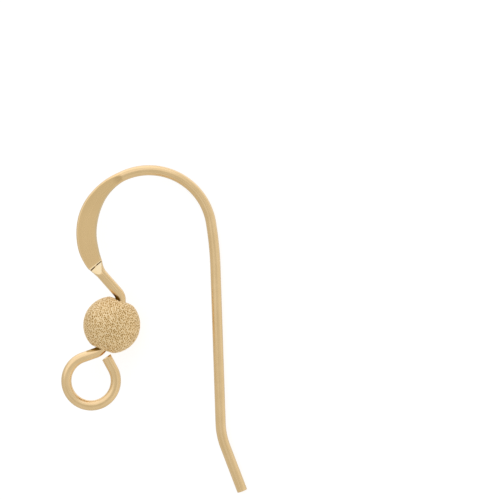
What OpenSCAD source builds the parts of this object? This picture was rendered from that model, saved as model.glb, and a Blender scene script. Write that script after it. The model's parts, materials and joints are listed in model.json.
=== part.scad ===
// Fish-hook ear wire: one bent round wire with a pressed front, and a drilled hollow bead.
// Millimetres. The hook is drawn flat in its own plane round the bead's centre,
// then laid down on the surface z = 0 as it rests by itself.

/* [Wire] */
// Diameter of the round wire
wire_d = 0.72; // [0.64:0.02:0.82]
// Thickness of the pressed front where it is thinnest
flat_t = 0.3; // [0.24:0.02:0.4]
// How far the press squares the edges of the front, from 0 for round to 1 for sharp
flat_square = 0.75; // [0.5:0.05:0.9]

/* [Bead] */
// Diameter of the bead
bead_d = 4; // [3.4:0.1:4.6]
// Thickness of the bead's wall
bead_wall = 0.28; // [0.2:0.02:0.4]
// Gap between the wire and the bead's hole, all round
bead_gap = 0.14; // [0.1:0.02:0.2]
// Diameter of the shallow dish round each end of the hole
dish_d = 1.6; // [1.4:0.1:1.8]
// Depth of that dish
dish_depth = 0.12; // [0.06:0.02:0.2]
// Angle of the bead's hole from the upright
hole_lean = 21.6; // [16:0.2:28]

/* [Neck] */
// How far inside the bead's upper mouth the neck starts to bend
neck_inset = 0.3; // [0.2:0.05:0.4]
// Radius of the neck bend, to the wire's centreline
neck_bend_r = 0.85; // [0.7:0.05:1]
// Turn of the neck bend
neck_turn = 63; // [55:1:68]
// Length of the straight neck
neck_len = 1.65; // [1.2:0.05:2.2]

/* [Arch] */
// Radius of the arch, to the wire's centreline
arch_r = 4.4; // [3.8:0.1:5]
// Turn of the arch
arch_turn = 213; // [206:0.5:216]
// Length of the straight shoulder after the arch
shoulder_len = 0.4; // [0.2:0.1:1]
// Radius of the slack curve between the shoulder and the post
ease_r = 24; // [16:1:32]
// Turn of that slack curve
ease_turn = 6.5; // [5:0.5:9]

/* [Pressed front] */
// Distance along the arch from the neck to the foot of the pressed front
flat_start = 0.15; // [0.1:0.05:0.4]
// Length of the pressed front along the arch
flat_len = 7.95; // [7:0.05:9]

/* [Post and tail] */
// Length of the straight post
post_len = 10.9; // [9:0.1:14]
// Radius of the bend between the post and the tail
tail_bend_r = 5; // [3:0.5:7]
// Turn of that bend
tail_turn = 19; // [14:1:24]
// Length of the straight tail
tail_len = 3.35; // [2.5:0.05:4]

/* [Loop] */
// Inner diameter of the open loop
loop_inner_d = 2.75; // [2.4:0.05:3.2]
// Turn of the loop
loop_turn = 279; // [274:1:284]
// How far inside the bead's lower mouth the wire starts to bend
loop_inset = 0.3; // [0.2:0.05:0.4]
// Radius of the bend below the bead, to the wire's centreline
loop_bend_r = 0.95; // [0.8:0.05:1.1]
// Turn of that bend
loop_bend_turn = 49; // [46:0.5:54]
// Length of the straight wire between that bend and the loop
lead_len = 0.95; // [0.7:0.05:1.3]
// Length of the straight end of the wire after the loop
end_len = 0.95; // [0.6:0.05:1]

/* [Hidden] */
$fn = 48;
gold = [0.84, 0.73, 0.53];
frosted_gold = [0.80, 0.68, 0.47];
overshoot = 1;      // how far a cutting tool runs past what it cuts
side_steps = 10;    // facets round each edge of the pressed front
curve_step = 1;     // degrees between the points that bounds and contacts are taken from

bend_draw = 0.01;   // how much thinner the wire's radius draws in a bend
bend_lap = 0.04;    // how far a bend laps into the wire on each side of it

wire_r = wire_d / 2;
wire_area = PI * wire_r * wire_r;
bead_r = bead_d / 2;
hole_r = wire_r + bead_gap;
mouth_at = sqrt(bead_r * bead_r - dish_d * dish_d / 4);
hole_heading = 90 - hole_lean;
upper_end = mouth_at - neck_inset;    // reach of the straight wire from the bead's centre, up
lower_end = mouth_at - loop_inset;    // and down

// Foot, crease and crown of the pressed front. Columns: share of its length, and share of
// the pressing, from 0 for round wire to 1 for the thinnest place. The crease is the pair of
// rows where the press's edge leaves a small step.
FRONT = [
    [0.000, 0.02],
    [0.008, 0.02],
    [0.022, 0.26],
    [0.040, 0.50],
    [0.060, 0.62],
    [0.078, 0.68],
    [0.084, 0.80],
    [0.115, 0.86],
    [0.160, 0.92],
    [0.215, 0.98],
    [0.270, 1.00],
    [0.330, 1.00],
    [0.390, 1.00],
    [0.450, 1.00],
    [0.510, 0.99],
    [0.570, 0.96],
    [0.630, 0.91],
    [0.690, 0.83],
    [0.750, 0.72],
    [0.810, 0.60],
    [0.870, 0.45],
    [0.920, 0.29],
    [0.960, 0.15],
    [0.992, 0.02],
    [1.000, 0.02]
];

// A run of wire is a list of rows: the length of a straight or the radius of a bend, and the
// bend's turn, left positive and 0 for a straight. A place on it is [x, y, heading].
UP_RUN = [
    [lower_end + upper_end, 0],
    [neck_bend_r, neck_turn],
    [neck_len, 0],
    [arch_r, -arch_turn],
    [shoulder_len, 0],
    [ease_r, -ease_turn],
    [post_len, 0],
    [tail_bend_r, tail_turn],
    [tail_len, 0]
];
ARCH_ROW = 3;
DOWN_RUN = [
    [loop_bend_r, -loop_bend_turn],
    [lead_len, 0],
    [loop_inner_d / 2 + wire_r, loop_turn],
    [end_len, 0]
];
UP_START = [-lower_end * cos(hole_heading), -lower_end * sin(hole_heading), hole_heading];
DOWN_START = [UP_START.x, UP_START.y, hole_heading + 180];

// The place at a share of a row that starts at a known place
function along(start, row, share = 1) =
    row[1] == 0
        ? [start.x + share * row[0] * cos(start.z), start.y + share * row[0] * sin(start.z), start.z]
        : let (
            side = sign(row[1]) * row[0],
            heading = start.z + share * row[1]
        )
        [
            start.x + side * (sin(heading) - sin(start.z)),
            start.y - side * (cos(heading) - cos(start.z)),
            heading
        ];

// The places where each row of a run starts, and the place where the run ends
function places(start, run) = [
    for (i = 0, place = start; i <= len(run); place = along(place, run[min(i, len(run) - 1)]), i = i + 1)
        place
];

// Points of a run's centreline, close enough to take its bounds from
function trail(start, run) =
    let (starts = places(start, run))
    [
        for (i = [0 : len(run) - 1])
            let (steps = max(1, ceil(abs(run[i][1]) / curve_step)))
            for (k = [0 : steps])
                let (place = along(starts[i], run[i], k / steps))
                [place.x, place.y]
    ];

// How the hook lies: on the bead, the tip of the tail and the outermost point of the arch.
// The line through the two points of wire is the one that all the wire lies to the left of.
UP_TRAIL = trail(UP_START, UP_RUN);
DOWN_TRAIL = trail(DOWN_START, DOWN_RUN);
TAIL_TIP = UP_TRAIL[len(UP_TRAIL) - 1];
rest_heading = min([
    for (p = UP_TRAIL)
        if (norm(p - TAIL_TIP) > tail_len + tail_bend_r)
            atan2(p.y - TAIL_TIP.y, p.x - TAIL_TIP.x)
]);
rest_reach = abs(TAIL_TIP.x * sin(rest_heading) - TAIL_TIP.y * cos(rest_heading));
rest_tilt = asin((bead_r - wire_r) / rest_reach);

// Where a point of the hook's plane comes to lie, seen from above
function laid(p) =
    let (
        dx = p.x - TAIL_TIP.x,
        dy = p.y - TAIL_TIP.y,
        length = dx * cos(rest_heading) + dy * sin(rest_heading),
        reach = (dx * sin(rest_heading) - dy * cos(rest_heading)) * cos(rest_tilt)
    )
    [
        length * cos(rest_heading) + reach * sin(rest_heading),
        length * sin(rest_heading) - reach * cos(rest_heading)
    ];

LAID = [for (p = concat(UP_TRAIL, DOWN_TRAIL)) laid(p)];
middle_x = (min([for (p = LAID) p.x]) + max([for (p = LAID) p.x])) / 2;
middle_y = (min([for (p = LAID) p.y]) + max([for (p = LAID) p.y])) / 2;

module lay_down() {
    translate([-middle_x, -middle_y, wire_r])
        rotate([0, 0, rest_heading - 90])
        rotate([0, rest_tilt, 0])
        rotate([0, 0, 90 - rest_heading])
        translate([-TAIL_TIP.x, -TAIL_TIP.y, 0])
        children();
}

// One row of a run, from share a to share b of its length. The wire draws a little thinner
// where it is bent, and each bend laps into what it meets.
module wire_piece(start, row, a = 0, b = 1) {
    place = along(start, row, a);
    turn = (b - a) * row[1];
    translate([place.x, place.y, 0])
        rotate([0, 0, place.z])
        if (turn == 0)
            rotate([0, 90, 0]) cylinder(h = (b - a) * row[0], r = wire_r);
        else
            translate([0, sign(turn) * row[0], 0])
                let (lap = bend_lap / row[0] * 180 / PI)
                rotate_extrude(angle = abs(turn) + 2 * lap, start = (turn > 0 ? -90 : 90 + turn) - lap)
                translate([row[0], 0]) circle(r = wire_r - bend_draw);
}

// A section of the pressed wire: two flat faces, and edges that bulge as half ellipses.
// The metal that leaves the thickness goes into the width.
function pressed_section(pressing) =
    let (
        thick = wire_d - pressing * (wire_d - flat_t),
        wide = wire_area / thick + (1 - PI / 4) * thick,
        flat = wide - wire_d + flat_square * sqrt(wire_d * wire_d - thick * thick),
        bulge = (wide - flat) / 2
    )
    [
        for (edge = [1, -1], k = [0 : side_steps])
            let (a = 90 - 180 * k / side_steps)
            [edge * (flat / 2 + bulge * cos(a)), edge * sin(a) * thick / 2]
    ];

// The pressed front, lofted through its sections along the arch
module pressed_front(arch_start, arch_row, from, to) {
    size = 2 * (side_steps + 1);
    last = len(FRONT) - 1;
    points = [
        for (row = FRONT)
            let (
                place = along(arch_start, arch_row, from + row[0] * (to - from)),
                out = [-sin(place.z), cos(place.z)]
            )
            for (q = pressed_section(row[1]))
                [place.x + out.x * q.x, place.y + out.y * q.x, q.y]
    ];
    sides = [
        for (i = [0 : last - 1], k = [0 : size - 1])
            let (a = i * size + k, b = i * size + (k + 1) % size)
            each [[a, b, b + size], [a, b + size, a + size]]
    ];
    foot = [for (k = [size - 1 : -1 : 0]) k];
    crown = [for (k = [0 : size - 1]) last * size + k];
    polyhedron(points = points, faces = concat([foot], sides, [crown]));
}

module ear_hook() {
    up = places(UP_START, UP_RUN);
    down = places(DOWN_START, DOWN_RUN);
    arch = UP_RUN[ARCH_ROW];
    arch_len = arch_r * arch_turn * PI / 180;
    flat_from = flat_start / arch_len;
    flat_to = (flat_start + flat_len) / arch_len;
    color(gold)
        lay_down() {
            for (i = [0 : len(UP_RUN) - 1])
                if (i != ARCH_ROW) wire_piece(up[i], UP_RUN[i]);
            wire_piece(up[ARCH_ROW], arch, 0, flat_from);
            pressed_front(up[ARCH_ROW], arch, flat_from, flat_to);
            wire_piece(up[ARCH_ROW], arch, flat_to, 1);
            for (i = [0 : len(DOWN_RUN) - 1]) wire_piece(down[i], DOWN_RUN[i]);
        }
}

module frosted_bead() {
    dish_floor = mouth_at - dish_depth;
    dish_cut = bead_r - dish_floor + overshoot;
    inside_r = bead_r - bead_wall;
    inside_half = dish_floor - bead_wall;
    color(frosted_gold)
        lay_down()
        rotate([0, 0, hole_heading])
        rotate([0, 90, 0])
        difference() {
            sphere(r = bead_r);
            intersection() {
                sphere(r = inside_r);
                cylinder(h = 2 * inside_half, r = bead_r, center = true);
            }
            cylinder(h = bead_d + overshoot, r = hole_r, center = true);
            for (end = [0, 180])
                rotate([end, 0, 0])
                translate([0, 0, dish_floor])
                cylinder(h = dish_cut, r1 = hole_r, r2 = hole_r + (dish_d / 2 - hole_r) * dish_cut / dish_depth);
        }
}

ear_hook();
frosted_bead();
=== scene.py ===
import json
import math
import random

import bmesh
import bpy
from mathutils import Matrix, Vector, kdtree


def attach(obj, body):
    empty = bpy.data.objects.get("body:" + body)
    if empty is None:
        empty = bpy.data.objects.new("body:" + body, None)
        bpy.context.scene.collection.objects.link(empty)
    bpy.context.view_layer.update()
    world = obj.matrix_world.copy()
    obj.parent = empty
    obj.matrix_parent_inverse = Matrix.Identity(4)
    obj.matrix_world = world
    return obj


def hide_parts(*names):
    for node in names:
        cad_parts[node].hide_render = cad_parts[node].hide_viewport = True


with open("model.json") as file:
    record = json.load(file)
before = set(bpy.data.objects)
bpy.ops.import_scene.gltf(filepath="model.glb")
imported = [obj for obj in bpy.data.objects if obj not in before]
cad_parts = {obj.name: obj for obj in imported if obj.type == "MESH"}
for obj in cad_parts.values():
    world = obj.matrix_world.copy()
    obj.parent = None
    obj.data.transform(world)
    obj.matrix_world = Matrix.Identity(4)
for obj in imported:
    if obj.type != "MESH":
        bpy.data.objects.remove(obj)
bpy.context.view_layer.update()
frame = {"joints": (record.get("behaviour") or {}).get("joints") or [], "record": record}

# How the ear wire lies, and the camera. It lies on its side on its bead and the low side
# of its wire, so the plane of the wire leans. The camera looks straight down on that
# plane through a long lens, with the post upright in the picture.
mm = 0.001
hole_slope = math.radians(68.4)

spin = frame["joints"][0]
mounts = {mount["name"]: mount for mount in frame["record"]["mounts"]}
hole_line = Vector(spin["axis"]).normalized()
plane_up = Vector(mounts["loop"]["axis"]).normalized()
picture_right = Matrix.Rotation(-hole_slope, 3, plane_up) @ hole_line
picture_up = plane_up.cross(picture_right)
lay = Matrix((picture_right, picture_up, plane_up)).transposed().to_4x4()
lay.translation = Vector(spin["pos_m"])

lens = 135
sensor = 36
picture_width = 35.09 * mm
picture_middle = Vector((9.70, 5.25, 0)) * mm

camera = bpy.data.objects.new("camera", bpy.data.cameras.new("camera"))
bpy.context.scene.collection.objects.link(camera)
camera.data.lens = lens
camera.data.sensor_width = sensor
camera.data.clip_start = 0.01
camera.data.clip_end = 10
stand_off = Vector((0, 0, picture_width * lens / sensor))
camera.matrix_world = lay @ Matrix.Translation(picture_middle + stand_off)
bpy.context.scene.camera = camera
bpy.context.scene.view_settings.view_transform = "Standard"


class Value:
    """Shader maths: a socket that takes part in expressions"""

    def __init__(self, socket):
        self.socket = socket
        self.tree = socket.id_data

    def node(self, kind, settings=(), out=0, **inputs):
        made = self.tree.nodes.new(kind)
        for name, setting in settings:
            setattr(made, name, setting)
        for name, given in inputs.items():
            by_number = name[1:].isdigit()
            place = made.inputs[int(name[1:]) if by_number else name.replace("_", " ")]
            if isinstance(given, Value):
                self.tree.links.new(given.socket, place)
            else:
                place.default_value = given
        return Value(made.outputs[out])

    def maths(self, operation, first, second=0.0):
        return self.node("ShaderNodeMath", [("operation", operation)], i0=first, i1=second)

    def __add__(self, other):
        return self.maths("ADD", self, other)

    def __sub__(self, other):
        return self.maths("SUBTRACT", self, other)

    def __rsub__(self, other):
        return self.maths("SUBTRACT", other, self)

    def __mul__(self, other):
        return self.maths("MULTIPLY", self, other)

    __radd__ = __add__
    __rmul__ = __mul__

    def ramp(self, low, high, to_low=0.0, to_high=1.0):
        soft = [("interpolation_type", "SMOOTHSTEP")]
        return self.node("ShaderNodeMapRange", soft, i0=self, i1=low, i2=high, i3=to_low, i4=to_high)

    def colour(self, under, over):
        """Lays one colour over another by this share"""
        return self.node("ShaderNodeMix", [("data_type", "RGBA")], out=2, i0=self, i6=under, i7=over)

    def feed(self, node, socket):
        self.tree.links.new(self.socket, node.inputs[socket])


# The light: a soft white tent round the table. It is brighter towards the directions below,
# each with the cosines where it starts and is full, and its strength.
tent_strength = 0.655
bright_sides = (
    ((-0.40, 0.74, 0.55), 0.60, 0.80, 0.33),
    ((0, 0.9, -0.45), 0.40, 0.95, 0.35),
    ((1, 0, 0), 0.35, 0.95, 0.16),
    ((0.3, -0.9, 0), 0.30, 0.90, 0.06),
)
tent_white = (1.0, 1.0, 1.0, 1)
bright_white = (0.99, 1.0, 1.10, 1)

tent = bpy.data.worlds.new("tent")
bpy.context.scene.world = tent
tent.use_nodes = True
tent.node_tree.nodes.clear()
sky = Value(tent.node_tree.nodes.new("ShaderNodeTexCoord").outputs["Generated"])
extra = 0.0
for line, start, full, strength in bright_sides:
    aim = lay.to_3x3() @ Vector(line).normalized()
    towards = sky.node("ShaderNodeVectorMath", [("operation", "DOT_PRODUCT")], "Value", i0=sky, i1=aim)
    extra = extra + towards.ramp(start, full) * strength
tint = extra.ramp(0.0, 0.5).colour(tent_white, bright_white)
glow = sky.node("ShaderNodeBackground", Color=tint, Strength=extra + tent_strength)
glow.feed(tent.node_tree.nodes.new("ShaderNodeOutputWorld"), "Surface")

# The floor: a white table that glows a little, so that it stays plain white round the wire
floor_mesh = bpy.data.meshes.new("floor")
table = bmesh.new()
bmesh.ops.create_circle(table, cap_ends=True, segments=96, radius=1.5)
table.to_mesh(floor_mesh)
table.free()
floor = bpy.data.objects.new("floor", floor_mesh)
bpy.context.scene.collection.objects.link(floor)
floor.visible_glossy = False
white = bpy.data.materials.new("white_table")
white.use_nodes = True
white_shader = white.node_tree.nodes["Principled BSDF"]
white_shader.inputs["Base Color"].default_value = (0.4, 0.4, 0.4, 1)
white_shader.inputs["Roughness"].default_value = 0.9
white_shader.inputs["Specular IOR Level"].default_value = 0.1
white_shader.inputs["Emission Color"].default_value = (1, 1, 1, 1)
white_shader.inputs["Emission Strength"].default_value = 0.75
floor_mesh.materials.append(white)

# The bent wire: one length of gold-plated wire, 0.72 mm thick. It is rolled into the open
# loop, threaded up through the bead, bent into the neck and the arch and left straight as
# the post, with a turned-out tail. The arch's front is pressed flat in a die.
wire_r = 0.36
in_bead = 3.06606
post_len = 10.9
tail_len = 3.35
start_heading = 298.4

# The route from the loop's end: a straight's length and 0, or a bend's radius and its turn
route = (
    ("loop end", 0.95, 0),
    ("loop", 1.735, -279),
    ("lead", 0.95, 0),
    ("bend below the bead", 0.95, 49),
    ("bead", in_bead, 0),
    ("neck bend", 0.85, 63),
    ("neck", 1.65, 0),
    ("arch", 4.4, -213),
    ("shoulder", 0.4, 0),
    ("slack curve", 24, -6.5),
    ("post", post_len, 0),
    ("tail bend", 5, 19),
    ("tail", tail_len, 0),
)
stretches = {}
place = Matrix.Rotation(math.radians(start_heading), 4, "Z")
wire_len = 0
for name, size, turn in route:
    run = size if turn == 0 else size * math.radians(abs(turn))
    curve = 0 if turn == 0 else math.copysign(1 / size, turn)
    stretches[name] = (wire_len, curve, place)
    if turn == 0:
        place = place @ Matrix.Translation((run, 0, 0))
    else:
        centre = Matrix.Translation((0, 1 / curve, 0))
        place = place @ centre @ Matrix.Rotation(run * curve, 4, "Z") @ centre.inverted()
    wire_len += run
bead_start, _, bead_place = stretches["bead"]
bead_middle = bead_place @ Vector((in_bead / 2, 0, 0))
arch_start = stretches["arch"][0]
post_start = stretches["post"][0]


def bend(point):
    """Takes a point of the straight wire, which stands along z, to its place on the bent one"""
    reached = [row for row in stretches.values() if row[0] <= max(point.z, 0) + 1e-6]
    start, curve, place = reached[-1]
    run = point.z - start
    if curve == 0:
        return place @ Vector((run, point.x, point.y)) - bead_middle
    turned = Matrix.Rotation(run * curve, 4, "Z") @ Vector((0, point.x - 1 / curve, point.y))
    return place @ (turned + Vector((0, 1 / curve, 0))) - bead_middle


# Rows of the pressing along the arch: length, thickness, and the share of the width that is
# flat. It starts as a struck facet, up to the crease, and runs out as a tongue.
pressed = (
    (0.07, 0.720, 0.00), (0.09, 0.700, 0.25), (0.14, 0.672, 0.45), (0.20, 0.645, 0.58),
    (0.30, 0.602, 0.72), (0.45, 0.535, 0.85), (0.60, 0.470, 0.91), (0.71, 0.430, 0.92),
    (0.82, 0.384, 0.90), (1.06, 0.359, 0.88), (1.42, 0.334, 0.87), (1.86, 0.308, 0.87),
    (2.30, 0.300, 0.87), (3.73, 0.300, 0.87), (4.20, 0.304, 0.87), (4.68, 0.317, 0.86),
    (5.16, 0.338, 0.86), (5.64, 0.371, 0.85), (6.11, 0.418, 0.84), (6.59, 0.468, 0.82),
    (7.07, 0.531, 0.77), (7.46, 0.598, 0.68), (7.75, 0.650, 0.57), (7.95, 0.690, 0.42),
    (8.06, 0.712, 0.22), (8.10, 0.720, 0.00),
)
# The crease is a shallow slanting groove with a burr above it: length, depth
crease = ((0.690, 0.0), (0.722, 0.060), (0.752, -0.006), (0.775, -0.008), (0.81, 0.0))
crease_skew = 0.27
skew_end = 1.2
# The die leans towards the tongue, so one side is pressed deeper: length, slope
die_lean = ((4.5, 0.0), (7.0, 0.09), (8.2, 0.09))
least_depth = 0.02


def between(rows, at, column):
    """Reads a table between its rows"""
    for low, high in zip(rows, rows[1:]):
        if at <= high[0]:
            share = max(0, at - low[0]) / (high[0] - low[0])
            return low[column] + (high[column] - low[column]) * share
    return rows[-1][column]


def press(point):
    """Flattens a point of the straight wire: what leaves the thickness goes into the width"""
    up_arch = point.z - arch_start
    thick = between(pressed, up_arch, 1)
    if thick >= 2 * wire_r:
        return point.copy()
    slanting = up_arch + point.x * crease_skew
    flatness = between(pressed, slanting if up_arch < skew_end else up_arch, 2)
    wide = math.pi * wire_r ** 2 / thick + (1 - math.pi / 4) * thick
    high = thick / 2 / math.sqrt(1 - flatness ** 2)
    side = point.x * wide / 2 / wire_r
    depth = max(least_depth, thick / 2 + side * between(die_lean, up_arch, 1))
    face = point.y * high / wire_r
    if abs(face) > depth:
        face = math.copysign(depth - between(crease, slanting, 1), face)
    return Vector((side, face, point.z))


# The straight wire is drawn out in spans, with rows closest together round the crease:
# length, rows. Both ends are chamfered, and the loop's end is cut at a slant.
chamfer = 0.022
cut_slant = 0.13
cut_reach = 0.3
facet_len = 0.50
crease_len = 0.50
tail_bend_len = 1.658
spans = (
    (chamfer, 1),
    (arch_start + facet_len - chamfer, 250),
    (crease_len, 40),
    (post_start - arch_start - facet_len - crease_len, 215),
    (post_len, 22),
    (tail_bend_len, 20),
    (tail_len - chamfer, 8),
    (chamfer, 1),
)
wire = bmesh.new()
unbent = wire.verts.layers.float_vector.new("unbent")
bmesh.ops.create_circle(wire, cap_ends=True, segments=64, radius=wire_r - chamfer)
edge = wire.edges[:]
for index, (run, count) in enumerate(spans):
    old = {corner for part in edge for corner in part.verts}
    grown = bmesh.ops.extrude_edge_only(wire, edges=edge)["geom"]
    corners = [part for part in grown if isinstance(part, bmesh.types.BMVert)]
    lines = [part for part in grown if isinstance(part, bmesh.types.BMEdge)]
    edge = [part for part in lines if not old & set(part.verts)]
    bmesh.ops.translate(wire, verts=corners, vec=(0, 0, run))
    if index == 0:
        bmesh.ops.scale(wire, verts=corners, vec=(wire_r / (wire_r - chamfer),) * 2 + (1,))
    if index == len(spans) - 1:
        bmesh.ops.scale(wire, verts=corners, vec=((wire_r - chamfer) / wire_r,) * 2 + (1,))
    if count > 1:
        sides = [part for corner in corners for part in corner.link_edges if part not in edge]
        bmesh.ops.subdivide_edges(wire, edges=sides, cuts=count - 1)
bmesh.ops.edgeloop_fill(wire, edges=edge)
bmesh.ops.remove_doubles(wire, verts=wire.verts[:], dist=1e-6)
bmesh.ops.recalc_face_normals(wire, faces=wire.faces[:])
for corner in wire.verts:
    corner[unbent] = corner.co
    if corner.co.z < cut_reach:
        corner.co.z -= corner.co.x * cut_slant * (1 - corner.co.z / cut_reach)
    corner.co = bend(press(corner.co)) * mm
wire.transform(lay)
for face in wire.faces:
    face.smooth = len(face.verts) == 4
wire_mesh = bpy.data.meshes.new("bent_wire")
wire.to_mesh(wire_mesh)
wire.free()
bent_wire = bpy.data.objects.new("bent_wire", wire_mesh)
bpy.context.scene.collection.objects.link(bent_wire)
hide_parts("ear_hook")
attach(bent_wire, "hook")

# The plating: a soft satin gold with fine drawing lines along the wire. Its places are given
# on the unbent wire, in millimetres: across it, up towards its seen side, and along it.
plated = bpy.data.materials.new("gold_plated_wire")
plated.use_nodes = True
plated_shader = plated.node_tree.nodes["Principled BSDF"]
plated_shader.inputs["Specular IOR Level"].default_value = 0.0
unbent_place = plated.node_tree.nodes.new("ShaderNodeAttribute")
unbent_place.attribute_name = "unbent"
spot = Value(unbent_place.outputs["Vector"])
across = spot.node("ShaderNodeSeparateXYZ", out="X", Vector=spot)
face_up = spot.node("ShaderNodeSeparateXYZ", out="Y", Vector=spot)
along = spot.node("ShaderNodeSeparateXYZ", out="Z", Vector=spot)
off_middle = across * across

stretched = spot.node("ShaderNodeVectorMath", [("operation", "MULTIPLY")], i0=spot, i1=(11, 11, 0.12))
drawn = spot.node("ShaderNodeTexNoise", Vector=stretched, Scale=1.0, Detail=2.0, Roughness=0.5)
cloud = spot.node("ShaderNodeTexNoise", Vector=spot, Scale=1.1, Detail=2.0, Roughness=0.5)
dimples = spot.node("ShaderNodeTexNoise", Vector=spot, Scale=7.0, Detail=2.0, Roughness=0.6)
dimples = dimples.ramp(0.3, 0.7)
sheen = drawn.ramp(0.3, 0.7) * 0.75 + cloud.ramp(0.3, 0.7) * 0.25

# The facet is an oval that the crease cuts off; its pale gold is a painted highlight, paler on
# its dimples and one side. The crease is painted shade, dark but for its middle, with a painted
# highlight on the burr above it. Then come the flat, darker as a painted dim reflection and
# darker still towards its foot, its tongue with a painted dark reflection on its ramp, and
# painted shade along its inner edge.
on_arch = along - arch_start
skewed = on_arch + across * crease_skew
facet_ahead = (skewed - 0.71) * (1 / 0.61)
facet_beside = (across - 0.01) * (1 / 0.325)
oval = facet_ahead * facet_ahead + facet_beside * facet_beside
facet = oval.ramp(1.06, 0.94) * skewed.ramp(0.715, 0.700)
broken = off_middle.ramp(0.001, 0.005, 0.1, 1.0)
groove = skewed.ramp(0.690, 0.700) * skewed.ramp(0.780, 0.768) * off_middle.ramp(0.115, 0.09) * broken
burr = skewed.ramp(0.755, 0.770) * skewed.ramp(0.850, 0.800)
flat = skewed.ramp(0.76, 0.84) * on_arch.ramp(8.2, 8.0) * off_middle.ramp(0.105, 0.075)
flat_foot = on_arch.ramp(3.0, 1.0)
tongue_side = across + 0.045
tongue = on_arch.ramp(7.3, 7.85) * on_arch.ramp(8.14, 8.02) * (tongue_side * tongue_side).ramp(0.060, 0.036)
inner_edge = across.ramp(-0.285, -0.325) * on_arch.ramp(0.95, 1.3) * on_arch.ramp(8.1, 7.2)

# The crooks of the bends get a painted reflection of the dark gap beside the bead, on the seen
# side of the wire. Each mark is a wedge of painted shade that narrows away from the bead, and the
# lower one has a paler rim of painted shade.
bead_reach = 1.80
bead_centre = bead_start + in_bead / 2
above = along - (bead_centre + bead_reach)
below = (bead_centre - bead_reach) - along
upper = face_up.ramp(-0.12, 0.10)
seen_above = above.ramp(-0.3, -0.2) * upper
seen_below = below.ramp(-0.3, -0.2) * upper
narrowing = above.ramp(0.05, 0.70) * 0.22
crook_shade_above = across.ramp(narrowing - 0.07, narrowing + 0.07) * above.ramp(1.00, 0.55) * seen_above
crook_shade_below = (across - below * 0.51).ramp(-0.09, -0.01) * seen_below
shade_rim_below = (across - below * 0.195).ramp(0.007, 0.067) * below.ramp(1.16, 1.06) * seen_below

marks = (
    # Painted shade: the flat darker as a painted dim reflection, and darker still towards its foot
    (flat, (0.90, 0.645, 0.32, 1), 0.94),
    (flat, (0.85, 0.605, 0.30, 1), flat_foot),
    # Painted reflection: the tongue's ramp darker
    (tongue, (0.70, 0.49, 0.24, 1), 0.7),
    # Painted highlight: the facet's pale gold, paler again on its dimples and one side
    (facet, (1.0, 0.775, 0.43, 1), 1.0),
    (facet, (1.0, 0.835, 0.54, 1), 0.6 * dimples + 0.4 * across.ramp(0.15, -0.2)),
    # Painted shade along the arch's inner edge
    (inner_edge, (0.76, 0.59, 0.33, 1), 0.85),
    # Painted highlight on the burr, then painted shade in the crease
    (burr, (1.0, 0.82, 0.50, 1), 0.9),
    (groove, (0.19, 0.09, 0.01, 1), 1.0),
    # Painted shade and painted reflection of the dark gap, in the crooks by the bead
    (shade_rim_below, (0.50, 0.32, 0.11, 1), 1.0),
    (crook_shade_above, (0.13, 0.052, 0.001, 1), 1.0),
    (crook_shade_below, (0.22, 0.11, 0.015, 1), 1.0),
)
plating = sheen.colour((0.855, 0.615, 0.312, 1), (1.0, 0.738, 0.408, 1))
for mark, gold, strength in marks:
    plating = (mark * strength).colour(plating, gold)
# The painted shade of the crease and the crooks also takes away metal and adds roughness there
painted_shade_share = groove + crook_shade_above + crook_shade_below
scratches = drawn * (1 - 0.93 * flat) + 0.6 * dimples * facet
wire_relief = spot.node("ShaderNodeBump", Strength=0.14, Distance=0.01 * mm, Height=scratches)
plating.feed(plated_shader, "Base Color")
(1 - painted_shade_share).feed(plated_shader, "Metallic")
(0.22 + 0.08 * sheen + 0.04 * facet + 0.5 * painted_shade_share).feed(plated_shader, "Roughness")
wire_relief.feed(plated_shader, "Normal")
wire_mesh.materials.append(plated)

# The frosted bead: a hollow ball of thin sheet, 4 mm across, with a shallow dish punched
# round the hole at each mouth. Its skin is struck all over with small pits, evenly strewn.
bead_r = 2.0
wall = 0.28
hole_r = 0.5
hole_chamfer = 0.03
dish_r = 0.86
dish_floor = 1.69
dish_steps = 6
mouth_at = math.sqrt(bead_r ** 2 - dish_r ** 2)
inside_r = bead_r - wall
inside_half = dish_floor - wall
bead = bmesh.new()
hammered = bead.verts.layers.float.new("hammered")


def round_side(radius, height, steps):
    """Draws a ball's side from a height above its middle to as far below, and gives both ends"""
    first = bead.verts.new((math.sqrt(radius ** 2 - height ** 2), 0, height))
    sweep = 2 * math.asin(height / radius)
    arc = bmesh.ops.spin(bead, geom=[first], cent=(0, 0, 0), axis=(0, 1, 0), angle=sweep, steps=steps)
    return first, [part for part in arc["geom_last"] if isinstance(part, bmesh.types.BMVert)][0]


outside = round_side(bead_r, mouth_at, 130)
inside = round_side(inside_r, inside_half, 24)
for end, near, far in zip((1, -1), outside, inside):
    mouth = []
    for step in range(1, dish_steps + 1):
        share = step / dish_steps
        in_dish = dish_r + (hole_r + hole_chamfer - dish_r) * share
        mouth.append((in_dish, mouth_at + (dish_floor - mouth_at) * share))
    mouth.append((hole_r, dish_floor - hole_chamfer))
    mouth.append((hole_r, inside_half))
    lip = near
    for out, height in mouth:
        inner = bead.verts.new((out, 0, end * height))
        bead.edges.new((lip, inner))
        lip = inner
    bead.edges.new((lip, far))
outline = bead.verts[:] + bead.edges[:]
round_the_hole = {"cent": (0, 0, 0), "axis": (0, 0, 1), "angle": 2 * math.pi, "steps": 360}
bmesh.ops.spin(bead, geom=outline, use_merge=True, **round_the_hole)
bmesh.ops.remove_doubles(bead, verts=bead.verts[:], dist=1e-6)

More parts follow.
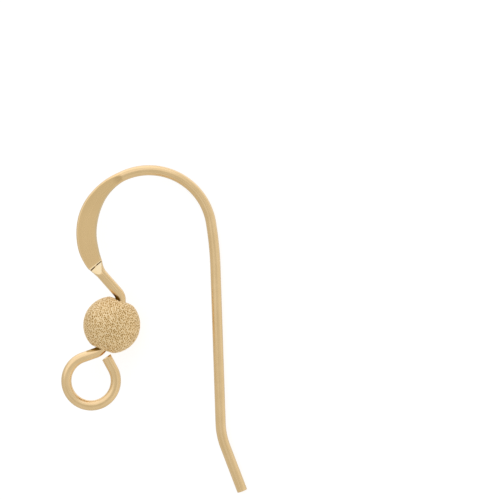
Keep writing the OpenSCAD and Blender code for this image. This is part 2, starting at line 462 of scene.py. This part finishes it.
pit_count = 2900
pit_r = 0.090
pit_deep = 0.03
pit_astray = 0.038
pit_slope = 1.6
seam = 0.02
golden_turn = math.pi * (3 - math.sqrt(5))
chance = random.Random(5)
pits = kdtree.KDTree(pit_count)
for number in range(pit_count):
    level = 1 - (2 * number + 1) / pit_count
    turn = number * golden_turn
    ring = math.sqrt(1 - level ** 2)
    pit = Vector((math.cos(turn) * ring, math.sin(turn) * ring, level)) * bead_r
    astray = Vector([chance.uniform(-pit_astray, pit_astray) for axis in range(3)])
    pits.insert(pit + astray, number)
pits.balance()
for corner in bead.verts:
    if corner.co.xy.length < hole_r + seam or corner.co.length < inside_r + seam:
        continue
    outward = corner.co.normalized()
    _, _, away = pits.find(outward * bead_r)
    height = min(1.0, away / pit_r) ** pit_slope
    corner[hammered] = height
    corner.co -= outward * pit_deep * (1 - height)
bmesh.ops.recalc_face_normals(bead, faces=bead.faces[:])
on_wire = Matrix.Rotation(hole_slope, 4, "Z") @ Matrix.Rotation(math.radians(90), 4, "Y")
for corner in bead.verts:
    corner.co = on_wire @ (corner.co * mm)
bead.transform(lay)
for face in bead.faces:
    face.smooth = True
bead_mesh = bpy.data.meshes.new("frosted_ball")
bead.to_mesh(bead_mesh)
bead.free()
frosted_ball = bpy.data.objects.new("frosted_ball", bead_mesh)
bpy.context.scene.collection.objects.link(frosted_ball)
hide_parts("frosted_bead")
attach(frosted_ball, "bead")

# The frosting: dark gold in the pits as painted shade, pale gold on the grains between them and
# painted highlights on their tips, with a finer sparkle over both that paints glints into the
# colour and also bumps the surface
frosted = bpy.data.materials.new("frosted_gold")
frosted.use_nodes = True
frosted_shader = frosted.node_tree.nodes["Principled BSDF"]
frosted_shader.inputs["Metallic"].default_value = 0.4
frosted_shader.inputs["Specular IOR Level"].default_value = 0.2
# Painted shade for the pits, the grains' own gold, and a painted highlight for the grain tips
pit_shade_gold = (0.29, 0.14, 0.005, 1)
grain_gold = (0.91, 0.645, 0.31, 1)
tip_highlight_gold = (1.0, 0.80, 0.49, 1)
pit_height = frosted.node_tree.nodes.new("ShaderNodeAttribute")
pit_height.attribute_name = "hammered"
struck = Value(pit_height.outputs["Fac"])
where = Value(frosted.node_tree.nodes.new("ShaderNodeTexCoord").outputs["Object"])
sparkle = where.node("ShaderNodeTexNoise", Vector=where, Scale=14000.0, Detail=2.0, Roughness=0.6)
light = (struck * 0.75 + sparkle * 0.25).ramp(0.05, 0.80)
skin = light.ramp(0.0, 0.7).colour(pit_shade_gold, grain_gold)
skin = (light.ramp(0.65, 1.0) * 0.8).colour(skin, tip_highlight_gold)
bead_relief = where.node("ShaderNodeBump", Strength=0.4, Distance=0.01 * mm, Height=sparkle)
skin.feed(frosted_shader, "Base Color")
(0.62 - 0.20 * light).feed(frosted_shader, "Roughness")
bead_relief.feed(frosted_shader, "Normal")
bead_mesh.materials.append(frosted)
